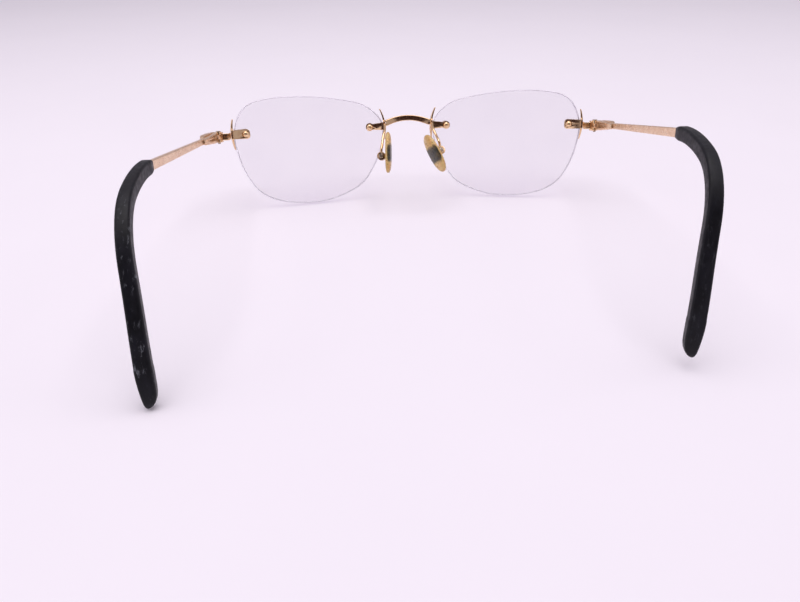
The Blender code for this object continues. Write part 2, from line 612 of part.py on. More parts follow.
def temple(side_name, side):
    axis_point = hinge_place(0, 0, 0)
    empty = pivot_empty("hinge_pivot_" + side_name, axis_point, side)
    # Bar: a flat gold strip that grows towards the sleeve, then a thin core wire
    rings = []
    for u in (0.0, 0.35, 17.0, 35.0, 52.0, GOLD_LENGTH - 0.06):
        share = u / GOLD_LENGTH
        trim = 0.3 if u == 0.0 else 0.0
        rings.append(section_ring(side_name, u, BAR_WIDE + BAR_WIDER * share - trim,
                                  BAR_TALL + BAR_TALLER * share - trim, 0.3))
    for u in bend_stations(GOLD_LENGTH - 0.06, CORE_END):
        rings.append(section_ring(side_name, u, 1.0, 1.5, 0.25))
    bar = make("temple_bar_" + side_name, *loft(rings), side, (GOLD, 1.0, 0.3, 0.0), axis_point, empty)
    # Head: the bar is thicker and taller on its outer face next to the hinge
    rings = []
    for u, deep, tall in ((0.9, 1.0, 2.0), (1.5, 1.4, 2.7), (HEAD_LENGTH - 2.5, 1.6, 2.7),
                          (HEAD_LENGTH, 0.9, 1.4)):
        frame = temple_frame(side_name, u)
        rings.append([frame(0.23 - BAR_WIDE / 2 - deep / 2 + a, b + 0.12, 0)
                      for a, b in rounded_section(deep, tall, 0.25)])
    head = make("temple_head_" + side_name, *loft(rings), side, None, axis_point, empty)
    boolean(bar, head, "UNION")
    # Leaf: a block on the inner face with the middle knuckle at its front
    name = "hinge_leaf_" + side_name
    rings = []
    for u, deep, tall, corner in ((2.1, 1.0, 2.6, 0.2), (2.6, 1.2, 3.3, 0.25), (6.0, 1.25, 3.3, 0.3),
                                  (LEAF_LENGTH - 1.0, 0.7, 1.9, 0.2), (LEAF_LENGTH, 0.4, 1.5, 0.12)):
        frame = temple_frame(side_name, u)
        inner = (BAR_WIDE + BAR_WIDER * u / GOLD_LENGTH) / 2 + 0.06
        rings.append([frame(inner + deep / 2 + a, b - LEAF_DROP, 0)
                      for a, b in rounded_section(deep, tall, corner)])
    leaf = make(name, *loft(rings), side, (GOLD, 1.0, 0.3, 0.0), axis_point, empty)
    turned = lambda a, b, c: hinge_place(a, c, b)
    knuckle_shape = arc((0, 0), KNUCKLE_RADIUS, 180, 360, 10) + [
        (KNUCKLE_RADIUS - 0.08, 0.4), (0.75, 2.2), (-0.15, 2.2), (-KNUCKLE_RADIUS, 0.6)]
    knuckle = make(name + "_knuckle", *prism(knuckle_shape, turned, -MIDDLE_HALF, MIDDLE_HALF), side, None,
                   axis_point, empty)
    boolean(leaf, knuckle, "UNION")
    bore = make(name + "_bore", *prism(arc((0, 0), HINGE_BORE_RADIUS, 0, 337.5, 15), turned, -3, 3),
                side, None, axis_point, empty)
    boolean(leaf, bore, "DIFFERENCE")
    groove_shape = [(2.6, 0.75), (2.6, -0.75), (LEAF_LENGTH - 5.0, -0.1), (LEAF_LENGTH - 5.0, 0.1)]
    start = temple_frame(side_name, 0.0)
    upright = lambda a, b, c: start(c, b - LEAF_DROP, a)
    groove = make(name + "_groove", *prism(groove_shape, upright, BAR_WIDE / 2 + 0.75, 4.0), side, None,
                  axis_point, empty)
    boolean(leaf, groove, "DIFFERENCE")
    # Sleeve: flat-sided black bar, bent down, with a blind bore for the core wire
    total = TEMPLE_LENGTH
    (mouth_wide, end_wide), (mouth_tall, end_tall) = SLEEVE_WIDE, SLEEVE_TALL
    outer = []
    for u in [GOLD_LENGTH] + bend_stations(GOLD_LENGTH + 1.9, total - 9):
        share = (u - GOLD_LENGTH) / (total - GOLD_LENGTH)
        trim = 0.65 if u == GOLD_LENGTH else 0.0
        outer.append(section_ring(side_name, u, mouth_wide + (end_wide - mouth_wide) * share - trim,
                                  mouth_tall + (end_tall - mouth_tall) * share - trim, 0.7))
    # Tip: a long bevel on the outer side and a short round on the inner side
    for back, lateral, medial, tall in ((5.0, 1.75, 2.05, 3.1), (2.4, 1.5, 1.8, 3.0), (1.0, 1.25, 1.1, 2.5),
                                        (0.0, 0.85, 0.2, 1.4)):
        wide = lateral + medial
        outer.append(section_ring(side_name, total - back, wide, tall, min(0.7, wide * 0.3),
                                  (medial - lateral) / 2))
    inner = []
    for u in bend_stations(GOLD_LENGTH, CORE_END + 0.6):
        inner.append(section_ring(side_name, u, 1.2, 1.7, 0.25))
    count = 8
    verts = [p for ring in outer for p in ring]
    faces = []

    def skin(first, rows):
        for r in range(rows - 1):
            for i in range(count):
                j = (i + 1) % count
                a, b = first + r * count, first + (r + 1) * count
                faces.append((a + i, a + j, b + j, b + i))

    skin(0, len(outer))
    end = (len(outer) - 1) * count
    faces.append(tuple(range(end, end + count)))
    bore_first = len(verts)
    verts += [p for ring in inner for p in ring]
    skin(bore_first, len(inner))
    end = bore_first + (len(inner) - 1) * count
    faces.append(tuple(range(end, end + count)))
    for i in range(count):
        j = (i + 1) % count
        faces.append((i, j, bore_first + j, bore_first + i))
    make("temple_sleeve_" + side_name, verts, faces, side, (BLACK, 0.0, 0.45, 0.0), axis_point, empty,
         smooth=50)


# ---------- build ----------

def build():
    clear_scene()
    bridge()
    for side_name, side in SIDES.items():
        lens("lens_" + side_name, side)
        strap("temporal_strap_" + side_name, side, "temporal", TEMPORAL)
        strap("nasal_strap_" + side_name, side, "nasal", NASAL)
        lens_fixings(side_name, side, "temporal", TEMPORAL)
        lens_fixings(side_name, side, "nasal", NASAL)
        nose_pad(side_name, side)
        endpiece(side_name, side)
        temple(side_name, side)


build()
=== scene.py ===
import json
import math

import bmesh
import bpy
import numpy as np
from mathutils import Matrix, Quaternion, Vector


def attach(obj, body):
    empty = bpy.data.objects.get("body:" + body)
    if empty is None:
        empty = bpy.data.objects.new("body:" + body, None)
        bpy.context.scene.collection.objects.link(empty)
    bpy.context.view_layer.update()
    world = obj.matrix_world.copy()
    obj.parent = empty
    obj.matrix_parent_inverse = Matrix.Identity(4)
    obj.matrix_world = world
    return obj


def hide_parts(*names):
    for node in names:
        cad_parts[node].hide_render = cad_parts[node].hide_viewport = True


# The looks of the rimless eyeglasses: smooth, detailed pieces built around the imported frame.
#
# Lengths in the shape functions are millimetres in the frame's axes and become metres when a mesh is made.
# Shapes are drawn for the wearer's left side (+X) and mirrored about the middle of the glasses.
# A profile is a list of (radius, height) points that is turned about an axis. An outline is a list of
# (across, up) points that is given a thickness.

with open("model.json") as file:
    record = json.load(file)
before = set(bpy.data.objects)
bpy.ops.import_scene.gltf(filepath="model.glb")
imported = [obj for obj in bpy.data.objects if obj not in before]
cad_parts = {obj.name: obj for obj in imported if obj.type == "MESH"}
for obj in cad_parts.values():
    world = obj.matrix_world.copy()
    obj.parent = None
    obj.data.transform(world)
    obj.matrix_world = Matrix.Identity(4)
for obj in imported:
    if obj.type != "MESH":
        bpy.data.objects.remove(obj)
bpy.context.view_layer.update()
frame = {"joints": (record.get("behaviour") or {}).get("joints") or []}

MM = 0.001
SIDES = {"left": 1.0, "right": -1.0}
joints = {j["name"]: j for j in frame["joints"]}

# ---------- driving dimensions, the same as the frame's ----------

LENS_CENTRE_X = 34.8
WRAP_DEG = 7.8
LENS_THICK = 2.0
LENS_BASE_RADIUS = 150.0
LENS_BOW = 1.6
LENS_OUTLINE = [
    (25.6, 0.5), (25.9, 8.5), (21.6, 16.0), (12.5, 18.5), (-1.0, 18.2), (-12.5, 16.4),
    (-20.5, 13.8), (-25.9, 8.0), (-25.4, 0.0), (-22.0, -7.5), (-16.5, -13.8), (-6.5, -17.8),
    (3.0, -18.5), (12.5, -17.0), (19.3, -13.3), (23.4, -7.0),
]
TEMPORAL_SCREW = (22.3, 7.2)
NASAL_SCREW = (-21.5, 6.4)

LENS_BEVEL = 0.22
FACE_SHARES = [0.15, 0.3, 0.45, 0.6, 0.75, 0.87, 0.95]   # rings of each lens face, as shares of its outline

EAR_GAP = 0.15
EAR_THICK = 0.65
EAR_INNER = LENS_THICK / 2 + EAR_GAP        # from the lens's middle surface to an ear's inner face
EAR_OUTER = EAR_INNER + EAR_THICK
SHOE_THICK = 0.7
SHOE_DEEP = 1.9
SHOE_REACH = {"temporal": 4.5, "nasal": 5.4}
SHOE_CURVE = {"temporal": (0.030, 0.022), "nasal": (0.040, 0.015)}   # above and below the screw
SHOE_TOP = {"temporal": 5.1, "nasal": 6.0}
SHOE_FOOT = {"temporal": -5.1, "nasal": -4.6}
SHOE_BLOCK_HALF = 1.6       # the deep stretch of the shoe, where the ears leave it
SHOE_NECK_HALF = 2.1
SCREW_RADIUS = 0.6
EAR_HOLE_RADIUS = 0.65
LENS_HOLE_RADIUS = 1.0
BUSHING_RADIUS = 0.95
NUT_RADIUS = 1.05
SEAT_GAP = 0.05             # clearance where one piece sits on or in another

BRIDGE_RISE = 1.7
BRIDGE_FORWARD = 1.5
BRIDGE_TALL = 1.9
BRIDGE_DEEP = 0.9
BRIDGE_END_UP = 0.9         # above the nasal screw
BRIDGE_STEPS = 64

PAD_LENGTH = 13.9
PAD_WIDTH = 7.4
PAD_PIVOT = {"left": (10.2, -2.5, 8.6), "right": (10.2, -1.3, 8.6)}
PAD_RAISE = {"left": 1.2, "right": 0.0}
PAD_SPLAY_DEG = {"left": 2.0, "right": 26.0}
PAD_TOE_DEG = {"left": 8.0, "right": 18.0}
PAD_LEAN_DEG = 8.0
PIVOT_TO_PAD = 2.5
BOX_RADIUS = 1.45
BOX_LENGTH = 2.5
BOX_SLOT_HALF = 0.5
PIVOT_BORE_RADIUS = 0.43
PIVOT_SCREW_RADIUS = 0.36
LUG_RADIUS = 0.62
LUG_HALF = 0.42
WIRE_RADIUS = 0.45
WIRE_SIDES = 16

HINGE_ACROSS = 65.7
HINGE_BACK = 5.95
HINGE_UP = 5.5
KNUCKLE_RADIUS = 1.05
STACK_HALF = 1.7
MIDDLE_HALF = 0.7
HINGE_SCREW_RADIUS = 0.5
HINGE_BORE_RADIUS = 0.55
BLOCK_BACK = -KNUCKLE_RADIUS - 0.15         # back and front faces of the endpiece's bar, from the hinge axis
BLOCK_FRONT = -KNUCKLE_RADIUS - 1.3
LEAF_LENGTH = 17.5
LEAF_DROP = 0.15
HEAD_LENGTH = 13.5

TEMPLE_START = (67.4, 5.8, 5.1)
TEMPLE_SPLAY_DEG = {"left": 1.8, "right": -3.5}
TEMPLE_RISE_DEG = {"left": 12.6, "right": 15.8}
GOLD_LENGTH = 68.6
BAR_WIDE, BAR_TALL = 1.1, 1.6
BAR_WIDER, BAR_TALLER = 0.35, 0.8           # growth from the hinge to the sleeve
TEMPLE_LENGTH = 135.93
# Lengths along the temple, with the bend down or the sweep outwards there in degrees
BEND_POINTS = [(68.0, 0.0), (69.4, 2.0), (77.0, 14.0), (86.0, 23.0), (95.0, 54.0), (105.0, 84.0),
               (117.0, 80.0), (135.0, 90.0)]
SWEEP_POINTS = [(68.0, 0.0), (69.4, 2.2), (105.0, -10.2)]
BEND_SHARE = {"left": 0.95, "right": 1.05}
SLEEVE_WIDE = (2.7, 4.1)                    # at the mouth and at the tip
SLEEVE_TALL = (3.6, 3.1)
SLEEVE_CORNER = 0.62
BAR_SLOT = (1.62, 2.56, 0.28)               # width, height and corner radius of the opening for the bar
SCUFF_START, SCUFF_FADE_IN = 84.0, 18.0     # along the temple
TIP_LENGTH = 9.0
# Lengths back from the tip, with the sleeve's reach to each side and its height there
TIP_LATERAL = [(0, 0.75), (0.1, 0.9), (0.5, 1.1), (1.2, 1.28), (2.7, 1.5), (5, 1.78), (7, 1.95), (9, 2.02)]
TIP_MEDIAL = [(0, 0.0), (0.1, 0.2), (0.5, 0.75), (1.2, 1.3), (2.1, 1.7), (3.4, 1.98), (5, 2.04)]
TIP_TALL = [(0, 1.2), (0.1, 1.5), (0.5, 2.1), (1.2, 2.6), (2.7, 3.0), (5, 3.12)]


# ---------- axes ----------

def unit(v):
    v = np.asarray(v, float)
    return v / np.linalg.norm(v)


class Axes:
    """A local set of axes: call it with local millimetres to get millimetres in the frame."""

    def __init__(self, origin, a, b, c):
        self.origin = np.asarray(origin, float)
        self.axes = np.array([a, b, c], float)

    def __call__(self, a, b, c):
        return self.origin + a * self.axes[0] + b * self.axes[1] + c * self.axes[2]


hinge_left = np.array(joints["left_temple_fold"]["pos_m"]) / MM
hinge_right = np.array(joints["right_temple_fold"]["pos_m"]) / MM
front_up = unit(joints["left_temple_fold"]["axis"])
front_across = np.array((1.0, 0.0, 0.0))
front_back = np.cross(front_up, front_across)
MIDDLE_X = (hinge_left[0] + hinge_right[0]) / 2

# FRONT: across, up the raked front, back; its origin is level with the lens centres
FRONT = Axes(hinge_left - HINGE_ACROSS * front_across - HINGE_UP * front_up - HINGE_BACK * front_back,
             front_across, front_up, front_back)

wrap = math.radians(WRAP_DEG)
lens_out = np.array((math.cos(wrap), math.sin(wrap), 0.0))
lens_back = unit((-front_back[1] * math.sin(wrap), front_back[1] * math.cos(wrap),
                  front_back[2] * math.cos(wrap)))
LENS = Axes(FRONT(LENS_CENTRE_X, 0, 0), lens_out, np.cross(lens_out, lens_back), lens_back)


def lens_depth(a, b):
    """How far back the lens's middle surface is, at a place across and up from its centre."""
    return (a * a + b * b) / (2 * LENS_BASE_RADIUS) - LENS_BOW


def screw_axes(spot, outward):
    """Axes at a lens screw: towards the shoe, up, and back along the screw."""
    a, b = spot
    origin = LENS(a, b, lens_depth(a, b))
    back = unit(LENS(0, 0, LENS_BASE_RADIUS - LENS_BOW) - origin)
    out = outward * lens_out
    out = unit(out - back * (out @ back))
    return Axes(origin, out, np.cross(out, back) * outward, back)


TEMPORAL = screw_axes(TEMPORAL_SCREW, 1.0)
NASAL = screw_axes(NASAL_SCREW, -1.0)


# ---------- mesh helpers ----------

def linked(name, data):
    """A new object in the scene."""
    obj = bpy.data.objects.new(name, data)
    bpy.context.scene.collection.objects.link(obj)
    return obj


def limited(value, low=0.0, high=1.0):
    return min(max(value, low), high)


def along_table(value, table):
    """Reads a table of (place, value) points, straight between them."""
    return float(np.interp(value, *zip(*table)))


def new_object(name, verts, faces, side=1.0, materials=(), face_slots=None, attributes=None):
    """A mesh object from millimetre points, mirrored for the right side, in metres."""
    pts = np.array(verts, float)
    pts[:, 0] = (pts[:, 0] - MIDDLE_X) * side + MIDDLE_X
    mesh = bpy.data.meshes.new(name)
    mesh.from_pydata([tuple(p * MM) for p in pts], [], [tuple(f) for f in faces])
    for material in materials:
        mesh.materials.append(material)
    if face_slots is not None:
        mesh.polygons.foreach_set("material_index", face_slots)
    for key, values in (attributes or {}).items():
        mesh.attributes.new(key, "FLOAT", "POINT").data.foreach_set("value", values)
    bm = bmesh.new()
    bm.from_mesh(mesh)
    bmesh.ops.recalc_face_normals(bm, faces=bm.faces)
    bm.to_mesh(mesh)
    bm.free()
    return linked(name, mesh)


def applied(obj):
    """Turns the object's modifiers into its mesh."""
    bpy.context.view_layer.update()
    graph = bpy.context.evaluated_depsgraph_get()
    mesh = bpy.data.meshes.new_from_object(obj.evaluated_get(graph), depsgraph=graph)
    obj.modifiers.clear()
    obj.data = mesh
    return obj


def combined(obj, tools, operation):
    """Joins the tools to the object, or cuts them out of it, and removes them."""
    for tool in tools:
        mod = obj.modifiers.new(operation.lower(), "BOOLEAN")
        mod.object = tool
        mod.operation = operation
        mod.solver = "EXACT"
        mod.material_mode = "INDEX"
    applied(obj)
    for tool in tools:
        bpy.data.objects.remove(tool, do_unlink=True)
    return obj


def softened(obj, width, segments=2, angle=28.0):
    """Rounds the edges by a width in millimetres."""
    mod = obj.modifiers.new("edges", "BEVEL")
    mod.width = width * MM
    mod.segments = segments
    mod.limit_method = "ANGLE"
    mod.angle_limit = math.radians(angle)
    mod.miter_outer = "MITER_ARC"
    mod.use_clamp_overlap = True
    return applied(obj)


def shown(obj, body, node, smooth=35.0):
    """Shades the piece, lets it ride on its body and stand for its CAD node."""
    for poly in obj.data.polygons:
        poly.use_smooth = True
    obj.data.set_sharp_from_angle(angle=math.radians(smooth))
    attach(obj, body)
    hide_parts(node)
    return obj


def loft(rings, caps=True):
    """Skin through rings that all have the same number of points."""
    count = len(rings[0])
    verts = [p for ring in rings for p in ring]
    faces = []
    for r in range(len(rings) - 1):
        for i in range(count):
            j = (i + 1) % count
            faces.append((r * count + i, r * count + j, (r + 1) * count + j, (r + 1) * count + i))
    if caps:
        last = (len(rings) - 1) * count
        faces.append(tuple(range(count)))
        faces.append(tuple(range(last, last + count)))
    return verts, faces


def turned_rings(axes, profile, segments):
    """Rings from (radius, height) points turned about the third axis."""
    turns = [2 * math.pi * i / segments for i in range(segments)]
    return [[axes(r * math.cos(t), r * math.sin(t), h) for t in turns] for r, h in profile]


def lathe(axes, profile, segments):
    return loft(turned_rings(axes, profile, segments))


def drill(axes, radius, half_length, segments):
    """A straight round cutter, centred on the axes."""
    return lathe(axes, [(radius, -half_length), (radius, half_length)], segments)


def tube_between(axes, outer, inner_radius, segments):
    """A turned ring: an outer profile from low to high and a straight bore."""
    low, high = outer[0][1], outer[-1][1]
    rings = turned_rings(axes, outer + [(inner_radius, high), (inner_radius, low)], segments)
    return loft(rings + [rings[0]], caps=False)


def prism(outline, place, low, high):
    """Gives an outline a thickness, from low to high."""
    return loft([[place(a, b, low) for a, b in outline], [place(a, b, high) for a, b in outline]])


def arc(centre, radius, start_deg, end_deg, steps):
    pts = []
    for i in range(steps + 1):
        t = math.radians(start_deg + (end_deg - start_deg) * i / steps)
        pts.append((centre[0] + radius * math.cos(t), centre[1] + radius * math.sin(t)))
    return pts


def circle(radius, steps):
    return arc((0, 0), radius, 0, 360 * (steps - 1) / steps, steps - 1)


def spline(points, per_span, closed):
    """Smooth curve through the points (Catmull-Rom)."""
    pts = [np.asarray(p, float) for p in points]
    n = len(pts)
    out = []
    for i in range(n if closed else n - 1):
        p1, p2 = pts[i], pts[(i + 1) % n]
        p0 = pts[i - 1] if closed or i > 0 else 2 * p1 - p2
        p3 = pts[(i + 2) % n] if closed or i + 2 < n else 2 * p2 - p1
        for k in range(per_span):
            t = k / per_span
            out.append(0.5 * (2 * p1 + (p2 - p0) * t + (2 * p0 - 5 * p1 + 4 * p2 - p3) * t ** 2
                              + (3 * p1 - p0 - 3 * p2 + p3) * t ** 3))
    if not closed:
        out.append(pts[-1])
    return out


def rectangle(half_wide, half_tall):
    a, b = half_wide, half_tall
    return [(-a, -b), (a, -b), (a, b), (-a, b)]


def rounded_rectangle(wide, tall, radius, steps=4):
    """Outline centred on the axis, with round corners."""
    pts = []
    for cx, cy, start in ((1, 1, 0), (-1, 1, 90), (-1, -1, 180), (1, -1, 270)):
        centre = (cx * (wide / 2 - radius), cy * (tall / 2 - radius))
        pts += arc(centre, radius, start, start + 90, steps)
    return pts


def standing(place):
    """Swaps the last two coordinates, so that an outline across and back rises along the hinge."""
    return lambda a, b, c: place(a, c, b)


# ---------- materials ----------

class Look:
    """A material with a few shorthands for its nodes."""

    def __init__(self, name, **values):
        self.material = bpy.data.materials.new(name)
        self.material.use_nodes = True
        self.tree = self.material.node_tree
        self.shader = self.tree.nodes["Principled BSDF"]
        for key, value in values.items():
            self.shader.inputs[key.replace("_", " ")].default_value = value
        self.coordinates = self.node("ShaderNodeTexCoord").outputs["Object"]

    def node(self, kind, **settings):
        made = self.tree.nodes.new(kind)
        for key, value in settings.items():
            setattr(made, key, value)
        return made

    def link(self, source, target):
        self.tree.links.new(source, target)

    def noise(self, scale, detail=3.0, stretch=(1, 1, 1), roughness=0.5):
        """Noise with a pitch in repeats per metre, stretched along the axes given."""
        mapping = self.node("ShaderNodeMapping")
        mapping.inputs["Scale"].default_value = stretch
        self.link(self.coordinates, mapping.inputs["Vector"])
        noise = self.node("ShaderNodeTexNoise")
        noise.inputs["Scale"].default_value = scale
        noise.inputs["Detail"].default_value = detail
        noise.inputs["Roughness"].default_value = roughness
        self.link(mapping.outputs["Vector"], noise.inputs["Vector"])
        return noise.outputs["Fac"]

    def spread(self, source, low, high, to_low, to_high):
        node = self.node("ShaderNodeMapRange")
        for key, value in (("From Min", low), ("From Max", high), ("To Min", to_low), ("To Max", to_high)):
            node.inputs[key].default_value = value
        self.link(source, node.inputs["Value"])
        return node.outputs["Result"]

    def blend(self, factor, first, second):
        """Colour between two colours, or sockets, by a factor."""
        node = self.node("ShaderNodeMix", data_type="RGBA")
        self.link(factor, node.inputs["Factor"])
        # Inputs 6 and 7 and output 2 are this node's colours A, B and Result
        for socket, value in ((node.inputs[6], first), (node.inputs[7], second)):
            if isinstance(value, tuple):
                socket.default_value = (*value, 1.0)
            else:
                self.link(value, socket)
        return node.outputs[2]

    def times(self, first, second):
        node = self.node("ShaderNodeMath", operation="MULTIPLY")
        self.link(first, node.inputs[0])
        if isinstance(second, float):
            node.inputs[1].default_value = second
        else:
            self.link(second, node.inputs[1])
        return node.outputs[0]

    def attribute(self, name):
        return self.node("ShaderNodeAttribute", attribute_name=name).outputs["Fac"]

    def bump(self, height, strength, distance):
        node = self.node("ShaderNodeBump")
        node.inputs["Strength"].default_value = strength
        node.inputs["Distance"].default_value = distance
        self.link(height, node.inputs["Height"])
        self.link(node.outputs["Normal"], self.shader.inputs["Normal"])

    def lets_light_through(self, tint):
        """Shadow and bounce rays see a thin clear tint in place of the shader."""
        rays = self.node("ShaderNodeLightPath")
        both = self.node("ShaderNodeMath", operation="MAXIMUM")
        self.link(rays.outputs["Is Shadow Ray"], both.inputs[0])
        self.link(rays.outputs["Is Diffuse Ray"], both.inputs[1])
        clear = self.node("ShaderNodeBsdfTransparent")
        clear.inputs["Color"].default_value = (*tint, 1.0)
        mix = self.node("ShaderNodeMixShader")
        self.link(both.outputs[0], mix.inputs[0])
        self.link(self.shader.outputs[0], mix.inputs[1])
        self.link(clear.outputs[0], mix.inputs[2])
        self.link(mix.outputs[0], self.tree.nodes["Material Output"].inputs["Surface"])

    def colour(self, source):
        self.link(source, self.shader.inputs["Base Color"])

    def rough(self, source):
        self.link(source, self.shader.inputs["Roughness"])


def gold_look(name, bright, worn, rough, scratch_stretch, scratch=0.12):
    """Rose gold plate: a mottled tint, uneven polish and fine scratches along one way."""
    look = Look(name, Metallic=1.0)
    mottle = look.spread(look.noise(420, 5, roughness=0.65), 0.38, 0.66, 0.0, 1.0)
    look.colour(look.blend(mottle, bright, worn))
    look.rough(look.spread(look.noise(1500, 4), 0.3, 0.7, rough * 0.7, rough * 1.5))
    look.bump(look.noise(1000, 4, scratch_stretch), scratch, 0.00004)
    return look.material


def lens_look():
    """Clear resin with a faint lilac coat; light on its way to the floor passes straight through."""
    look = Look("clear_lens", Transmission_Weight=1.0, IOR=1.5)
    smear = look.spread(look.noise(90, 3), 0.45, 0.75, 0.0, 1.0)
    look.colour(look.blend(smear, (0.975, 0.965, 0.98), (0.955, 0.945, 0.965)))
    look.rough(look.spread(look.noise(160, 3), 0.5, 0.8, 0.0, 0.02))
    look.lets_light_through((0.95, 0.94, 0.96))
    return look.material


def lens_edge_look():
    """The ground rim: cloudier than the faces, with fine grinding lines."""
    look = Look("lens_edge", Transmission_Weight=0.75, IOR=1.45)
    grind = look.noise(2200, 3, (1, 1, 6))
    look.colour(look.blend(grind, (0.80, 0.77, 0.83), (0.66, 0.63, 0.70)))
    look.rough(look.spread(grind, 0.3, 0.7, 0.28, 0.45))
    look.bump(grind, 0.1, 0.00005)
    look.lets_light_through((0.8, 0.78, 0.82))
    return look.material


def nylon_look():
    """Milky bushing plastic."""
    look = Look("clear_nylon", Transmission_Weight=0.6, IOR=1.5)
    grain = look.noise(1800, 3)
    look.colour(look.blend(grain, (0.86, 0.84, 0.85), (0.74, 0.72, 0.74)))
    look.rough(look.spread(grain, 0.3, 0.7, 0.25, 0.4))
    return look.material


def pad_look():
    """Aged amber pad, with a painted dark reflection in a band across its middle."""
    look = Look("amber_pad", IOR=1.48, Transmission_Weight=0.35,
                Subsurface_Weight=0.4, Subsurface_Scale=0.0015)
    look.shader.inputs["Subsurface Radius"].default_value = (1.0, 0.6, 0.25)
    cloud = look.spread(look.noise(420, 4), 0.3, 0.7, 0.0, 1.0)
    amber = look.blend(cloud, (0.90, 0.66, 0.30), (0.78, 0.50, 0.17))
    # Painted reflection: a dark, faintly blue-green band laid over the amber where the pad's 'middle' mask
    # is high
    reflection_cloud = look.spread(look.noise(700, 5, roughness=0.7), 0.35, 0.65, 0.0, 1.0)
    painted_reflection = look.blend(reflection_cloud, (0.028, 0.040, 0.034), (0.11, 0.085, 0.035))
    ragged = look.node("ShaderNodeMath", operation="ADD")
    look.link(look.attribute("middle"), ragged.inputs[0])
    look.link(look.spread(look.noise(900, 4), 0.0, 1.0, -0.28, 0.28), ragged.inputs[1])
    edge = look.spread(ragged.outputs[0], 0.35, 0.75, 0.0, 1.0)
    look.colour(look.blend(edge, amber, painted_reflection))
    look.rough(look.spread(look.noise(1600, 3), 0.3, 0.7, 0.22, 0.42))
    look.bump(look.noise(2500, 3), 0.08, 0.00005)
    return look.material


def sleeve_look():
    """Satin black sleeve with a fine grain, rubbed patches and pale dusty scuffs."""
    look = Look("black_sleeve", IOR=1.5)
    look.shader.inputs["Specular IOR Level"].default_value = 0.22
    rub = look.spread(look.noise(260, 5, (1, 0.5, 0.5), 0.7), 0.45, 0.72, 0.0, 1.0)
    body = look.blend(rub, (0.004, 0.004, 0.006), (0.010, 0.010, 0.015))
    speck = look.spread(look.noise(1300, 6, (1, 0.45, 0.3), 0.75), 0.56, 0.68, 0.0, 1.0)
    scuff = look.times(look.times(speck, look.spread(look.noise(120, 2), 0.42, 0.62, 0.0, 1.0)),
                       look.attribute("scuff"))
    look.colour(look.blend(scuff, body, (0.17, 0.18, 0.20)))
    look.rough(look.spread(look.noise(900, 4), 0.3, 0.7, 0.34, 0.52))
    look.bump(look.noise(5200, 3), 0.16, 0.00004)
    return look.material


def steel_look():
    """Old gold-tinted steel, worn grey-brown in patches."""
    look = Look("screw_steel", Metallic=1.0)
    wear = look.spread(look.noise(1400, 4), 0.35, 0.65, 0.0, 1.0)
    look.colour(look.blend(wear, (0.66, 0.56, 0.44), (0.36, 0.27, 0.20)))
    look.rough(look.spread(look.noise(2600, 3), 0.3, 0.7, 0.22, 0.42))
    look.bump(look.noise(4000, 3), 0.1, 0.00003)
    return look.material


BRIGHT_GOLD, WORN_GOLD = (0.90, 0.64, 0.38), (0.76, 0.49, 0.27)
SATIN_GOLD, SATIN_WORN = (0.90, 0.67, 0.45), (0.78, 0.53, 0.34)
OLD_BRASS, GREEN_BRASS = (0.30, 0.22, 0.12), (0.08, 0.09, 0.06)
looks = {
    "polished": gold_look("polished_gold", BRIGHT_GOLD, WORN_GOLD, 0.14, (1, 1, 1), 0.06),
    "satin": gold_look("satin_gold", SATIN_GOLD, SATIN_WORN, 0.30, (3, 0.12, 3), 0.2),
    "brass": gold_look("old_brass", OLD_BRASS, GREEN_BRASS, 0.4, (1, 1, 1), 0.25),
    "lens": lens_look(),
    "edge": lens_edge_look(),
    "nylon": nylon_look(),
    "pad": pad_look(),
    "sleeve": sleeve_look(),
    "steel": steel_look(),
}


# ---------- lenses ----------

def lens(side_name, side):
    """A bowed lens with a polished bevel round its ground rim, drilled at both screws."""
    outline = spline(LENS_OUTLINE, 14, True)
    count = len(outline)
    half = LENS_THICK / 2
    inset = []
    for a, b in outline:
        share = 1 - LENS_BEVEL / math.hypot(a, b)
        inset.append((a * share, b * share))
    rings = [[(a * share, b * share, -half) for a, b in outline] for share in FACE_SHARES]
    rings.append([(a, b, -half) for a, b in inset])
    rings.append([(a, b, -half + LENS_BEVEL) for a, b in outline])
    rings.append([(a, b, half - LENS_BEVEL) for a, b in outline])
    rings.append([(a, b, half) for a, b in inset])
    rings += [[(a * share, b * share, half) for a, b in outline] for share in reversed(FACE_SHARES)]
    points = [[LENS(a, b, lens_depth(a, b) + off) for a, b, off in ring] for ring in rings]
    verts, faces = loft(points, caps=False)
    for first, off in ((0, -half), ((len(rings) - 1) * count, half)):
        middle = len(verts)
        verts.append(LENS(0, 0, lens_depth(0, 0) + off))
        faces += [(middle, first + i, first + (i + 1) % count) for i in range(count)]
    # The rim is the three bands between the two insets; the triangles at the middles are not part of it
    rim_first = len(FACE_SHARES) * count
    rim_last = rim_first + 3 * count
    face_slots = [1 if rim_first <= f[0] < rim_last and f[3:] else 0 for f in faces]
    name = "lens_" + side_name
    obj = new_object(name + "_polished", verts, faces, side, (looks["lens"], looks["edge"]), face_slots)
    drills = []
    for word, axes in (("temporal", TEMPORAL), ("nasal", NASAL)):
        drills.append(new_object("drill_" + word, *drill(axes, LENS_HOLE_RADIUS, 2.5, 40), side))
    combined(obj, drills, "DIFFERENCE")
    return shown(obj, "front", name, 25)


# ---------- straps, screws, nuts and bushings ----------

def shoe_reach(kind, up):
    """How far the middle of the shoe is from the screw, at a height above it."""
    above, below = SHOE_CURVE[kind]
    return SHOE_REACH[kind] - (above if up > 0 else below) * up * up


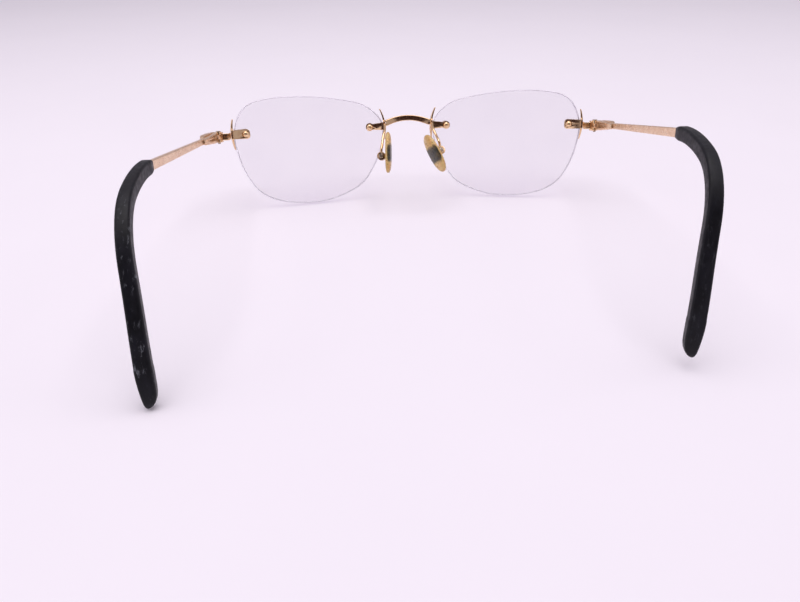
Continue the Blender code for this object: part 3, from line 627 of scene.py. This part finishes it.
def ear_outline(kind):
    """From the shoe to a round end about the screw; the temporal ear is wider."""
    reach = shoe_reach(kind, 0.0)
    if kind == "temporal":
        return ([(reach, -1.45), (reach, 1.45), (-0.4, 1.6)] + arc((-0.4, 0.5), 1.1, 90, 180, 10)[1:]
                + arc((-0.4, -0.5), 1.1, 180, 270, 10))
    return ([(reach, -1.35), (reach, 1.35), (3.0, 1.1), (1.2, 0.95)] + arc((0, 0), 1.35, 50, 310, 26)
            + [(1.2, -0.95), (3.0, -1.1)])


def strap(side_name, side, kind, axes):
    """A thin curved shoe along the lens rim with an ear on each face of the lens."""
    top, foot = SHOE_TOP[kind], SHOE_FOOT[kind]
    neck, block = SHOE_NECK_HALF, SHOE_BLOCK_HALF
    # Half the depth and the thickness at each height: pointed ends, narrow fingers, a deep middle block
    stations = [foot, foot * 0.7, -neck, -block, block, neck, top * 0.7, top]
    deeps = [0.5, 0.88, 1.15, SHOE_DEEP, SHOE_DEEP, 1.15, 0.88, 0.5]
    thicks = [0.42, 0.58, SHOE_THICK, SHOE_THICK, SHOE_THICK, SHOE_THICK, 0.58, 0.42]
    heights = (*np.linspace(foot, -neck, 12), *np.linspace(-1.95, 1.95, 15), *np.linspace(neck, top, 12))
    rings = []
    for up in heights:
        deep = float(np.interp(up, stations, deeps))
        thick = float(np.interp(up, stations, thicks))
        mid = shoe_reach(kind, up)
        rings.append([axes(mid + a, up, b) for a, b in rounded_rectangle(thick, 2 * deep, 0.16, 3)])
    name = kind + "_strap_" + side_name
    obj = new_object(name + "_fine", *loft(rings), side, (looks["polished"],))
    outline = ear_outline(kind)
    ears = []
    for word, low, high in (("back", EAR_INNER, EAR_OUTER), ("front", -EAR_OUTER, -EAR_INNER)):
        ears.append(new_object("ear_" + word, *prism(outline, axes, low, high), side))
    combined(obj, ears, "UNION")
    hole = new_object("ear_hole", *drill(axes, EAR_HOLE_RADIUS, 3.0, 32), side)
    combined(obj, [hole], "DIFFERENCE")
    softened(obj, 0.1, 2, 40)
    return shown(obj, "front", name, 30)


def slotted(obj, axes, side, low, high, width, length):
    """Cuts a screwdriver slot across a screw head, given half its width and length."""
    slot = prism(rectangle(length, width), axes, low, high)
    return combined(obj, [new_object("slot_cut", *slot, side)], "DIFFERENCE")


def lens_screw(tag, side, axes):
    """A slotted, domed head on the front ear and a plain shaft that ends inside the nut."""
    face = EAR_OUTER
    head = [(0.02, -face - 0.80), (0.45, -face - 0.78), (0.72, -face - 0.68), (0.92, -face - 0.48),
            (1.0, -face - 0.25), (1.0, -face - SEAT_GAP)]
    shaft = [(SCREW_RADIUS, -face - SEAT_GAP), (SCREW_RADIUS, face + 0.60), (0.5, face + 0.7),
             (0.02, face + 0.7)]
    name = "lens_screw_" + tag
    screw = new_object(name + "_fine", *lathe(axes, head + shaft, 40), side, (looks["polished"],))
    slotted(screw, axes, side, -face - 1.2, -face - 0.42, 0.14, 1.4)
    shown(screw, "front", name)


def lens_nut(tag, side, axes):
    """A domed cap nut on the back ear: blind bore, round shoulder and a dimple in the crown."""
    low = EAR_OUTER + SEAT_GAP
    bore = [(EAR_HOLE_RADIUS, low + 0.74), (EAR_HOLE_RADIUS, low)]
    dome = [(0.97, low), (NUT_RADIUS, low + 0.08), (NUT_RADIUS, low + 0.42), (1.0, low + 0.62),
            (0.87, low + 0.83), (0.68, low + 1.0), (0.46, low + 1.11), (0.3, low + 1.14)]
    dimple = [(0.24, low + 1.1), (0.2, low + 0.95), (0.1, low + 0.82), (0.02, low + 0.8)]
    name = "lens_nut_" + tag
    nut = new_object(name + "_fine", *lathe(axes, bore + dome + dimple, 48), side, (looks["polished"],))
    shown(nut, "front", name)


def lens_bushing(tag, side, axes):
    """A nylon sleeve round the screw, inside the lens."""
    deep = LENS_THICK / 2 - SEAT_GAP
    edge = 0.06
    ring = [(BUSHING_RADIUS - edge, -deep), (BUSHING_RADIUS, -deep + edge), (BUSHING_RADIUS, deep - edge),
            (BUSHING_RADIUS - edge, deep)]
    name = "lens_bushing_" + tag
    tube = tube_between(axes, ring, EAR_HOLE_RADIUS, 36)
    shown(new_object(name + "_fine", *tube, side, (looks["nylon"],)), "front", name)


# ---------- bridge ----------

def bridge():
    """A flat ribbon, arched up and forward, soldered between the two nasal shoes."""
    end = NASAL(shoe_reach("nasal", BRIDGE_END_UP) + SHOE_THICK / 2 + 0.12, BRIDGE_END_UP, 0.1)
    offset = end - FRONT.origin
    across, end_up, end_back = offset @ front_across, offset @ front_up, offset @ front_back
    rings = []
    for i in range(BRIDGE_STEPS + 1):
        s = -1 + 2 * i / BRIDGE_STEPS
        rise = end_up + BRIDGE_RISE * (1 - s * s)
        depth = end_back - BRIDGE_FORWARD * (1 - s * s)
        level = 0.0 if i in (0, BRIDGE_STEPS) else 1.0      # both ends are cut square across
        slope_up = -2 * BRIDGE_RISE * s / across * level
        slope_back = 2 * BRIDGE_FORWARD * s / across * level
        rings.append([FRONT(across * s - b * slope_up - a * slope_back, rise + b, depth + a)
                      for a, b in rounded_rectangle(BRIDGE_DEEP, BRIDGE_TALL, 0.22, 4)])
    obj = new_object("bridge_arch_fine", *loft(rings), 1.0, (looks["polished"],))
    return shown(obj, "front", "bridge_arch")


# ---------- nose pads ----------

def pad_axes(side_name):
    """Axes of a nose pad, centred on its pivot: along the pivot, up the pad, towards the nose."""
    splay = math.radians(PAD_SPLAY_DEG[side_name])
    toe = math.radians(PAD_TOE_DEG[side_name])
    lean = math.radians(PAD_LEAN_DEG)
    long_axis = unit((-math.sin(splay), math.cos(splay) * math.cos(lean), -math.sin(lean)))
    nose = np.array([-math.cos(toe), 0, math.sin(toe)])
    nose = unit(nose - long_axis * (nose @ long_axis))
    width = np.cross(long_axis, nose)
    to_world = FRONT.axes.T
    return Axes(FRONT(*PAD_PIVOT[side_name]), to_world @ width, to_world @ long_axis, to_world @ nose)


def box_axes(side_name):
    """Axes of the box that holds a pad: along the pivot, down the box, towards the nose."""
    toe = math.radians(PAD_TOE_DEG[side_name])
    width = pad_axes(side_name).axes[0]
    out = np.array([math.cos(toe), 0, 0]) - width * (math.cos(toe) * width[0])
    out = unit(out)
    return Axes(FRONT(*PAD_PIVOT[side_name]), width, np.cross(-out, width), -out)


def pad_outline(length, width, steps):
    """An ellipse, slightly squared."""
    squared = lambda v: math.copysign(abs(v) ** 0.9, v)
    turns = [2 * math.pi * i / steps for i in range(steps)]
    return [(width / 2 * squared(math.cos(t)), length / 2 * squared(math.sin(t))) for t in turns]


def nose_pad(side_name, side):
    """A thin oval pad, nearly flat towards the box and softly domed towards the nose."""
    axes = pad_axes(side_name)
    raised = PAD_RAISE[side_name]
    # Share of the outline and distance towards the nose, from the flat side to the domed side
    layers = [(0.03, -0.93), (0.4, -0.94), (0.72, -0.95), (0.84, -0.94), (0.91, -0.88), (0.96, -0.76),
              (0.99, -0.55), (1.0, -0.3), (0.995, -0.05), (0.97, 0.2), (0.92, 0.43), (0.84, 0.62),
              (0.72, 0.77), (0.56, 0.87), (0.36, 0.93), (0.16, 0.95), (0.03, 0.95)]
    rings, middle = [], []
    for k, n in layers:
        ring = []
        for a, b in pad_outline(PAD_LENGTH, PAD_WIDTH, 72):
            ring.append(axes(a * k, b * k + raised, PIVOT_TO_PAD + n))
            # The painted dark reflection fades towards the ends of the pad and towards its flat side
            along = abs(b * k + 0.3) / (PAD_LENGTH / 2)
            middle.append(limited((0.62 - along) / 0.4) * limited((n + 0.55) / 0.6))
        rings.append(ring)
    name = "nose_pad_" + side_name
    obj = new_object(name + "_domed", *loft(rings), side, (looks["pad"],), None, {"middle": middle})
    pocket = prism(pad_outline(6.0, 3.6, 40), axes, PIVOT_TO_PAD - 1.5, PIVOT_TO_PAD - 0.4)
    combined(obj, [new_object("pocket", *pocket, side)], "DIFFERENCE")
    return shown(obj, "pad_" + side_name, name, 40)


def pad_core(side_name, side):
    """The metal plate in the pad's pocket and the lug that reaches back to the pivot."""
    axes = pad_axes(side_name)
    along_pivot = lambda a, b, c: axes(c, a, b)
    outline = pad_outline(5.8, 3.4, 40)
    name = "pad_core_" + side_name
    obj = new_object(name + "_fine", *prism(outline, axes, PIVOT_TO_PAD - 0.9, PIVOT_TO_PAD - 0.45), side,
                     (looks["brass"],))
    lug_top = PIVOT_TO_PAD - 0.7
    lug_shape = arc((0, 0), LUG_RADIUS, 180, 360, 18) + [(LUG_RADIUS, lug_top), (-LUG_RADIUS, lug_top)]
    combined(obj, [new_object("lug", *prism(lug_shape, along_pivot, -LUG_HALF, LUG_HALF), side)], "UNION")
    eye = prism(circle(PIVOT_BORE_RADIUS, 24), along_pivot, -1, 1)
    combined(obj, [new_object("eye", *eye, side)], "DIFFERENCE")
    softened(obj, 0.06)
    return shown(obj, "pad_" + side_name, name)


def pad_box(side_name, side):
    """The round clevis and the screw along the pad's pivot."""
    axes = box_axes(side_name)
    half = BOX_LENGTH / 2
    along_pivot = lambda a, b, c: axes(c, a, b)
    name = "pad_box_" + side_name
    obj = new_object(name + "_fine", *prism(circle(BOX_RADIUS, 48), along_pivot, -half, half), side,
                     (looks["polished"],))
    slot_cut = new_object("slot", *prism(rectangle(BOX_SLOT_HALF, 2), axes, -0.75, 2), side)
    bore = new_object("bore", *prism(circle(PIVOT_BORE_RADIUS, 24), along_pivot, -3, 3), side)
    combined(obj, [slot_cut, bore], "DIFFERENCE")
    softened(obj, 0.12)
    shown(obj, "front", name)
    pad_screw("pad_screw_" + side_name, side, axes, half)


def pad_screw(name, side, axes, half):
    """A shaft along the pivot, with a low slotted head on the box's end face."""
    shaft = [(0.02, -half + 0.1), (0.3, -half + 0.1), (PIVOT_SCREW_RADIUS, -half + 0.16),
             (PIVOT_SCREW_RADIUS, half + SEAT_GAP)]
    head = [(0.72, half + SEAT_GAP), (0.75, half + 0.1), (0.74, half + 0.24), (0.6, half + 0.36),
            (0.02, half + 0.4)]
    spin = Axes(axes.origin, axes.axes[1], axes.axes[2], axes.axes[0])
    screw = new_object(name + "_fine", *lathe(spin, shaft + head, 36), side, (looks["steel"],))
    slotted(screw, spin, side, half + 0.2, half + 0.8, 0.1, 1.2)
    shown(screw, "front", name)


def pad_arm(side_name, side):
    """A bent wire from the back edge of the nasal shoe to the top of the pad's box."""
    box = box_axes(side_name)
    start = NASAL(shoe_reach("nasal", 0.4), 0.4, SHOE_DEEP + 0.07)
    web = box(0, -BOX_RADIUS - 0.08, 0)
    low = PAD_PIVOT[side_name][1]
    # Straight back out of the shoe, down behind the lens, and into the middle of the box's top
    path = [start, start + 0.9 * front_back, FRONT(8.6, 5.9, 3.0), FRONT(9.3, 3.9, 5.2),
            FRONT(9.9, low + 3.4, 7.6), web - 0.9 * box.axes[1], web]
    pts = spline(path, 10, False)
    turns = [2 * math.pi * k / WIRE_SIDES for k in range(WIRE_SIDES)]
    side_way = np.cross(front_back, (0.3, 0.5, 0.8))
    rings = []
    for i, p in enumerate(pts):
        if i == 0:
            t = front_back
        elif i == len(pts) - 1:
            t = box.axes[1]
        else:
            t = unit(pts[i + 1] - pts[i - 1])
        side_way = unit(side_way - t * (side_way @ t))
        other = np.cross(t, side_way)
        rings.append([p + WIRE_RADIUS * (math.cos(turn) * side_way + math.sin(turn) * other)
                      for turn in turns])
    name = "pad_arm_" + side_name
    obj = new_object(name + "_fine", *loft(rings), side, (looks["polished"],))
    return shown(obj, "front", name, 50)


# ---------- endpieces and hinges ----------

def hinge_place(across, up, back):
    """Hinge axes: across from the axis, up along it, back from it."""
    return FRONT(HINGE_ACROSS + across, HINGE_UP + up, HINGE_BACK + back)


def endpiece(side_name, side):
    """A strip from the temporal shoe that turns back into a hinge block with two knuckles."""
    name = "endpiece_" + side_name
    reach = shoe_reach("temporal", 0) + SHOE_THICK / 2 + 0.1
    rings = [[TEMPORAL(reach, -0.2 + b, a) for a, b in rounded_rectangle(1.2, 2.2, 0.2, 3)]]
    centre = (BLOCK_FRONT + BLOCK_BACK) / 2
    for across in (-3.2, -2.4, -1.6, -0.8, 0.0, 1.0, 2.0):
        rings.append([hinge_place(across, b, centre + a)
                      for a, b in rounded_rectangle(BLOCK_BACK - BLOCK_FRONT, 2.3, 0.2, 3)])
    obj = new_object(name + "_fine", *loft(rings), side, (looks["polished"],))
    turned = standing(hinge_place)
    # The block behind the knuckles is a hair proud of the bar, with its outer front corner rounded
    proud = 0.02
    plate = ([(-1.1, BLOCK_FRONT - proud)] + arc((1.6, BLOCK_FRONT + 1.08), 1.1, 270, 360, 8)
             + [(2.7, BLOCK_BACK + proud), (-1.1, BLOCK_BACK + proud)])
    parts = [new_object("plate", *prism(plate, turned, -STACK_HALF, STACK_HALF), side)]
    gap = MIDDLE_HALF + 0.05
    r = KNUCKLE_RADIUS
    barrel = [(-r, -r - 0.6), (r, -r - 0.6)] + arc((0, 0), r, 0, 180, 24)
    for foot, top in ((-STACK_HALF - proud, -gap), (gap, STACK_HALF + proud)):
        parts.append(new_object("knuckle", *prism(barrel, turned, foot, top), side))
    combined(obj, parts, "UNION")
    combined(obj, [hinge_bore(side)], "DIFFERENCE")
    softened(obj, 0.1)
    shown(obj, "front", name)
    hinge_screw("hinge_screw_" + side_name, side)


def hinge_bore(side):
    """The cutter for the hole along the hinge axis."""
    return new_object("bore", *prism(circle(HINGE_BORE_RADIUS, 24), standing(hinge_place), -3, 3), side)


def hinge_screw(name, side):
    """A shaft down the hinge axis, with a low slotted head on top and a rounded end below."""
    spin = Axes(hinge_place(0, 0, 0), front_across, front_back, front_up)
    top = STACK_HALF + 0.07
    s = HINGE_SCREW_RADIUS
    shaft = [(0.02, -top - 0.45), (0.3, -top - 0.43), (s, -top - 0.28), (s, top)]
    head = [(0.82, top), (0.85, top + 0.05), (0.83, top + 0.2), (0.62, top + 0.31), (0.02, top + 0.32)]
    screw = new_object(name + "_fine", *lathe(spin, shaft + head, 36), side, (looks["steel"],))
    slotted(screw, spin, side, top + 0.16, top + 0.8, 0.11, 1.2)
    shown(screw, "front", name)


# ---------- temples ----------

def temple_directions(side_name, u):
    """Direction, up and medial axes of the temple at a length u from its start."""
    bend = BEND_SHARE[side_name] * along_table(u, BEND_POINTS)
    pitch = math.radians(bend - TEMPLE_RISE_DEG[side_name])
    yaw = math.radians(TEMPLE_SPLAY_DEG[side_name] + along_table(u, SWEEP_POINTS))
    along = np.array([math.sin(yaw) * math.cos(pitch), math.cos(yaw) * math.cos(pitch), -math.sin(pitch)])
    up = np.array([math.sin(yaw) * math.sin(pitch), math.cos(yaw) * math.sin(pitch), math.cos(pitch)])
    medial = np.array([-math.cos(yaw), math.sin(yaw), 0.0])
    return along, up, medial


def temple_axes(side_name, u):
    """Axes at a length u: medial, up, along. The curve is followed in half-millimetre steps."""
    point = FRONT(*TEMPLE_START)
    steps = max(int(u / 0.5), 1)
    for i in range(steps):
        point = point + temple_directions(side_name, u * (i + 0.5) / steps)[0] * u / steps
    along, up, medial = temple_directions(side_name, u)
    return Axes(point, medial, up, along)


def section(side_name, u, wide, tall, radius, shift=0.0, steps=4):
    axes = temple_axes(side_name, u)
    return [axes(a + shift, b, 0) for a, b in rounded_rectangle(wide, tall, radius, steps)]


def temple_bar(side_name, side):
    """The flat gold strip with a thicker head on its outer face, and its end inside the sleeve."""
    rings = []
    for u in (0.0, 0.12, 0.35, *np.linspace(3, GOLD_LENGTH - 0.4, 24), GOLD_LENGTH + 1.4):
        share = u / GOLD_LENGTH
        trim = 0.3 if u == 0.0 else 0.1 if u < 0.2 else 0.0     # rounds the front end
        wave = 0.02 * math.sin(u * 0.9)     # hand-finished, not quite even
        rings.append(section(side_name, u, BAR_WIDE + BAR_WIDER * share - trim + wave,
                             BAR_TALL + BAR_TALLER * share - trim, 0.24))
    name = "temple_bar_" + side_name
    obj = new_object(name + "_fine", *loft(rings), side, (looks["satin"],))
    rings = []
    for u, deep, tall in ((0.9, 1.0, 2.0), (1.5, 1.4, 2.7), (6.0, 1.5, 2.8), (HEAD_LENGTH - 2.5, 1.6, 2.7),
                          (HEAD_LENGTH - 0.8, 1.3, 2.1), (HEAD_LENGTH, 0.9, 1.4)):
        axes = temple_axes(side_name, u)
        rings.append([axes(0.23 - BAR_WIDE / 2 - deep / 2 + a, b + 0.12, 0)
                      for a, b in rounded_rectangle(deep, tall, 0.25, 3)])
    combined(obj, [new_object("head", *loft(rings), side)], "UNION")
    softened(obj, 0.08, 2, 40)
    return shown(obj, "temple_" + side_name, name, 30)


def hinge_leaf(side_name, side):
    """The wedge on the inner face of the bar, with a groove and the middle knuckle."""
    name = "hinge_leaf_" + side_name
    rings = []
    for u, deep, tall, radius in ((2.1, 1.0, 2.6, 0.2), (2.6, 1.2, 3.3, 0.3), (6.0, 1.25, 3.3, 0.35),
                                  (11.0, 1.0, 2.6, 0.3), (LEAF_LENGTH - 1.0, 0.7, 1.9, 0.25),
                                  (LEAF_LENGTH, 0.4, 1.5, 0.15)):
        axes = temple_axes(side_name, u)
        inner = (BAR_WIDE + BAR_WIDER * u / GOLD_LENGTH) / 2 + 0.06
        rings.append([axes(inner + deep / 2 + a, b - LEAF_DROP, 0)
                      for a, b in rounded_rectangle(deep, tall, radius, 3)])
    obj = new_object(name + "_fine", *loft(rings), side, (looks["satin"],))
    turned = standing(hinge_place)
    r = KNUCKLE_RADIUS
    barrel = arc((0, 0), r, 180, 360, 24) + [(r - 0.08, 0.4), (0.75, 2.2), (-0.15, 2.2), (-r, 0.6)]
    combined(obj, [new_object("barrel", *prism(barrel, turned, -MIDDLE_HALF, MIDDLE_HALF), side)], "UNION")
    combined(obj, [hinge_bore(side)], "DIFFERENCE")
    start = temple_axes(side_name, 0.0)
    sideways = lambda a, b, c: start(c, b - LEAF_DROP, a)
    groove_end = LEAF_LENGTH - 5.0
    groove_shape = [(2.6, 0.75), (2.6, -0.75), (groove_end, -0.1), (groove_end, 0.1)]
    groove = prism(groove_shape, sideways, BAR_WIDE / 2 + 0.75, 4.0)
    combined(obj, [new_object("groove", *groove, side)], "DIFFERENCE")
    softened(obj, 0.07, 2, 35)
    return shown(obj, "temple_" + side_name, name, 30)


def sleeve_body(side_name):
    """Rings from the chamfered mouth to the start of the tip, and the length along the temple of each."""
    (mouth_wide, end_wide), (mouth_tall, end_tall) = SLEEVE_WIDE, SLEEVE_TALL
    mouth_chamfer = [(0.0, 0.72), (0.1, 0.6), (0.4, 0.5), (1.9, 0.05), (2.4, 0.0)]
    lengths = [GOLD_LENGTH + d for d in (0.0, 0.1, 0.4, 1.0, 1.5, 1.9, 2.4)]
    lengths += list(np.arange(GOLD_LENGTH + 3.2, TEMPLE_LENGTH - TIP_LENGTH, 0.8))
    rings = []
    for u in lengths:
        share = (u - GOLD_LENGTH) / (TEMPLE_LENGTH - GOLD_LENGTH)
        trim = along_table(u - GOLD_LENGTH, mouth_chamfer)
        rings.append(section(side_name, u, mouth_wide + (end_wide - mouth_wide) * share - trim,
                             mouth_tall + (end_tall - mouth_tall) * share - trim, SLEEVE_CORNER, 0.0, 5))
    return rings, lengths


def sleeve_tip(side_name):
    """Rings of the tip: a long bevel on its outer side and a short round on its inner side."""
    rings, lengths = [], []
    for back in (9.0, 8.0, 7.0, 6.0, 5.0, 4.2, 3.4, 2.7, 2.1, 1.6, 1.2, 0.8, 0.5, 0.25, 0.1, 0.0):
        lateral, medial = along_table(back, TIP_LATERAL), along_table(back, TIP_MEDIAL)
        wide = lateral + medial
        rings.append(section(side_name, TEMPLE_LENGTH - back, wide, along_table(back, TIP_TALL),
                             min(SLEEVE_CORNER, wide * 0.36), (medial - lateral) / 2, 5))
        lengths.append(TEMPLE_LENGTH - back)
    return rings, lengths


def temple_sleeve(side_name, side):
    """The flat-sided black sleeve, with the bar's slot in its mouth; the left one is the more scuffed."""
    body, body_lengths = sleeve_body(side_name)
    tip, tip_lengths = sleeve_tip(side_name)
    slot = [section(side_name, GOLD_LENGTH + deep, *BAR_SLOT, 0.0, 5) for deep in (2.0, 0.0)]
    count = len(slot[0])
    scuff = [0.0] * (len(slot) * count)
    for u in body_lengths + tip_lengths:
        reach = limited((u - SCUFF_START) / SCUFF_FADE_IN) * (1.0 if side_name == "left" else 0.2)
        scuff += [reach * (1.0 if i + 0.5 < count / 2 else 0.3) for i in range(count)]
    name = "temple_sleeve_" + side_name
    rings = loft(slot + body + tip)
    obj = new_object(name + "_smooth", *rings, side, (looks["sleeve"],), None, {"scuff": scuff})
    return shown(obj, "temple_" + side_name, name, 50)


# ---------- the object ----------

bridge()
for side_name, side in SIDES.items():
    lens(side_name, side)
    for kind, axes in (("temporal", TEMPORAL), ("nasal", NASAL)):
        tag = kind + "_" + side_name
        strap(side_name, side, kind, axes)
        lens_screw(tag, side, axes)
        lens_nut(tag, side, axes)
        lens_bushing(tag, side, axes)
    nose_pad(side_name, side)
    pad_core(side_name, side)
    pad_box(side_name, side)
    pad_arm(side_name, side)
    endpiece(side_name, side)
    temple_bar(side_name, side)
    hinge_leaf(side_name, side)
    temple_sleeve(side_name, side)


# ---------- camera ----------

CAMERA_AT = (0.017419, 0.172594, 0.097794)      # metres
CAMERA_YAW_DEG = -3.77      # from straight towards -Y, turned to -X
CAMERA_DOWN_DEG = 32.69
CAMERA_ROLL_DEG = 0.58
CAMERA_LENS = 29.25         # lens and sensor in millimetres
CAMERA_SENSOR = 36.0

camera = linked("camera", bpy.data.cameras.new("camera"))
down, yaw = math.radians(CAMERA_DOWN_DEG), math.radians(CAMERA_YAW_DEG)
ahead = Vector((math.sin(yaw) * math.cos(down), -math.cos(yaw) * math.cos(down), -math.sin(down)))
roll = Quaternion(ahead, math.radians(CAMERA_ROLL_DEG))
camera.rotation_mode = "QUATERNION"
camera.rotation_quaternion = roll @ ahead.to_track_quat("-Z", "Y")
camera.location = CAMERA_AT
camera.data.lens = CAMERA_LENS
camera.data.sensor_width = CAMERA_SENSOR
camera.data.clip_start = 0.005
bpy.context.scene.camera = camera


# ---------- floor, light and background ----------

# Metres from here on
FLOOR_DROP = 0.0003         # keeps the floor just clear of the lenses that stand on it
FLOOR_SIZE = 8.0
CARD_AT, CARD_WIDE, CARD_TALL, CARD_FACING = (0.0, 0.55, 0.27), 0.66, 0.5, (0, -1, -0.25)
SOFTBOXES = [               # name, place, size, watts, colour
    ("top_softbox", (0.03, 0.0, 0.75), 0.7, 3.6, (1.0, 0.96, 0.99)),
    ("left_softbox", (0.8, 0.1, 0.5), 0.6, 1.0, (1.0, 0.95, 0.98)),
    ("right_softbox", (-0.8, 0.0, 0.5), 0.6, 1.0, (1.0, 0.95, 0.98)),
]
ROOM_COLOUR, ROOM_STRENGTH = (0.93, 0.86, 0.97, 1.0), 0.5


def plane(name, centre, wide, tall, normal, look):
    mesh = bpy.data.meshes.new(name)
    corners = [(a, b, 0) for a, b in rectangle(wide / 2, tall / 2)]
    mesh.from_pydata(corners, [], [(0, 1, 2, 3)])
    mesh.materials.append(look)
    obj = linked(name, mesh)
    obj.location = centre
    obj.rotation_mode = "QUATERNION"
    obj.rotation_quaternion = Vector(normal).to_track_quat("Z", "Y")
    return obj


def floor_look():
    """Matt pale lilac paper, very slightly cloudy."""
    look = Look("pale_paper", Roughness=0.9)
    grain = look.noise(14, 3)
    look.colour(look.blend(grain, (0.875, 0.84, 0.89), (0.90, 0.865, 0.915)))
    look.shader.inputs["Specular IOR Level"].default_value = 0.1
    return look.material


def card_look():
    """The dark side of the room, which gives the polished gold its brown reflections."""
    look = Look("dark_card", Roughness=1.0)
    look.shader.inputs["Base Color"].default_value = (0.05, 0.03, 0.03, 1.0)
    look.shader.inputs["Specular IOR Level"].default_value = 0.0
    return look.material


def area_light(name, at, size, watts, colour):
    """A square softbox that faces the middle of the glasses."""
    light = bpy.data.lights.new(name, "AREA")
    light.shape = "SQUARE"
    light.size = size
    light.energy = watts
    light.color = colour
    obj = linked(name, light)
    obj.location = at
    obj.rotation_mode = "QUATERNION"
    obj.rotation_quaternion = (-Vector(at)).to_track_quat("-Z", "Y")


plane("floor", (0, 0, -FLOOR_DROP), FLOOR_SIZE, FLOOR_SIZE, (0, 0, 1), floor_look())
card = plane("dark_card", CARD_AT, CARD_WIDE, CARD_TALL, CARD_FACING, card_look())
# The card shows only in reflections
card.visible_camera = False
card.visible_diffuse = False
card.visible_shadow = False
card.visible_transmission = False

for softbox in SOFTBOXES:
    area_light(*softbox)

world = bpy.data.worlds.new("pale_room")
world.use_nodes = True
world.node_tree.nodes["Background"].inputs["Color"].default_value = ROOM_COLOUR
world.node_tree.nodes["Background"].inputs["Strength"].default_value = ROOM_STRENGTH
bpy.context.scene.world = world
bpy.context.scene.view_settings.view_transform = "Standard"
